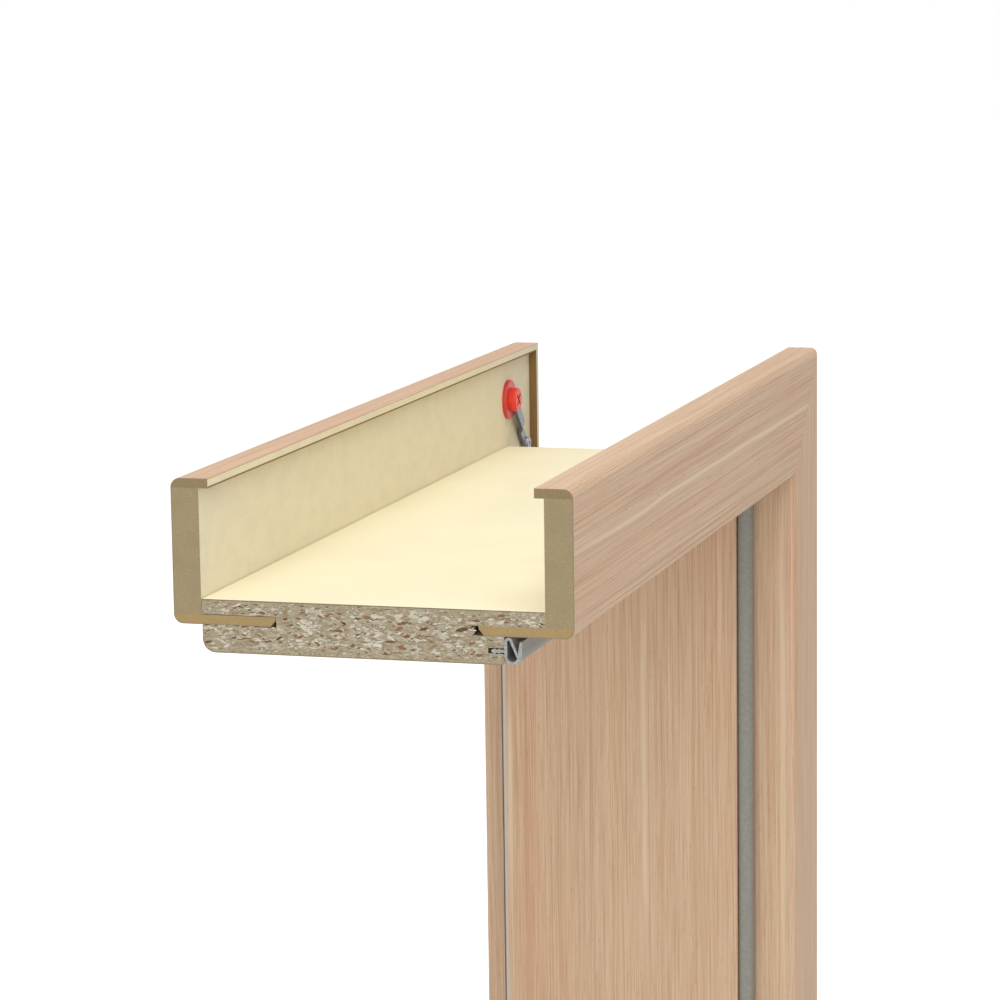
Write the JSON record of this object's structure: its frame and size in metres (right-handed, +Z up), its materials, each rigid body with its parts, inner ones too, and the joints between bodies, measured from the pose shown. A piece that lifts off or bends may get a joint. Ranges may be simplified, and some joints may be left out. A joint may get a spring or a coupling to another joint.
{
  "type": "adjustable door frame corner",
  "caption": "Sawn corner of a rebated door frame: chipboard head and jamb with a hollow seal, a fixed mitred architrave and one that slides out for thicker walls.",
  "frame": {"origin": "centre of the jamb board's foot", "axes": "+X through the wall towards the rebate side, +Y along the head towards the corner, +Z up the jamb"},
  "size_m": [0.169, 0.5, 0.4],
  "materials": {
    "chipboard": "sawn chipboard",
    "fibreboard": "bare fibreboard",
    "decor_foil": "printed light beech foil, satin",
    "back_foil": "cream paper foil, matt",
    "seal": "soft grey extrusion",
    "housing_plastic": "moulded red plastic",
    "cam_plastic": "moulded red plastic",
    "strap_steel": "stamped zinc-plated steel",
    "screw_steel": "zinc-plated steel"
  },
  "bodies": {
    "frame": {"head_board": "chipboard", "head_reveal_foil": "decor_foil", "head_back_foil": "back_foil", "head_seal": "seal", "jamb_board": "chipboard", "jamb_reveal_foil": "decor_foil", "jamb_back_foil": "back_foil", "jamb_seal": "seal", "fixed_head_lip": "fibreboard", "fixed_head_leg": "fibreboard", "fixed_head_tongue": "fibreboard", "fixed_head_foil": "decor_foil", "fixed_jamb_lip": "fibreboard", "fixed_jamb_leg": "fibreboard", "fixed_jamb_tongue": "fibreboard", "fixed_jamb_foil": "decor_foil", "fixed_cam_housing": "housing_plastic", "fixed_cam": "cam_plastic", "fixed_draw_strap": "strap_steel", "fixed_strap_screw": "screw_steel"},
    "adjustable_side": {"adjustable_head_lip": "fibreboard", "adjustable_head_leg": "fibreboard", "adjustable_head_tongue": "fibreboard", "adjustable_head_foil": "decor_foil", "adjustable_jamb_lip": "fibreboard", "adjustable_jamb_leg": "fibreboard", "adjustable_jamb_tongue": "fibreboard", "adjustable_jamb_foil": "decor_foil", "adjustable_cam_housing": "housing_plastic", "adjustable_cam": "cam_plastic", "adjustable_draw_strap": "strap_steel", "adjustable_strap_screw": "screw_steel"}
  },
  "joints": [
    {"name": "architrave_slide", "type": "slide", "parent": "frame", "child": "adjustable_side", "axis": [-1, 0, 0], "range_m": [0, 0.02]}
  ]
}
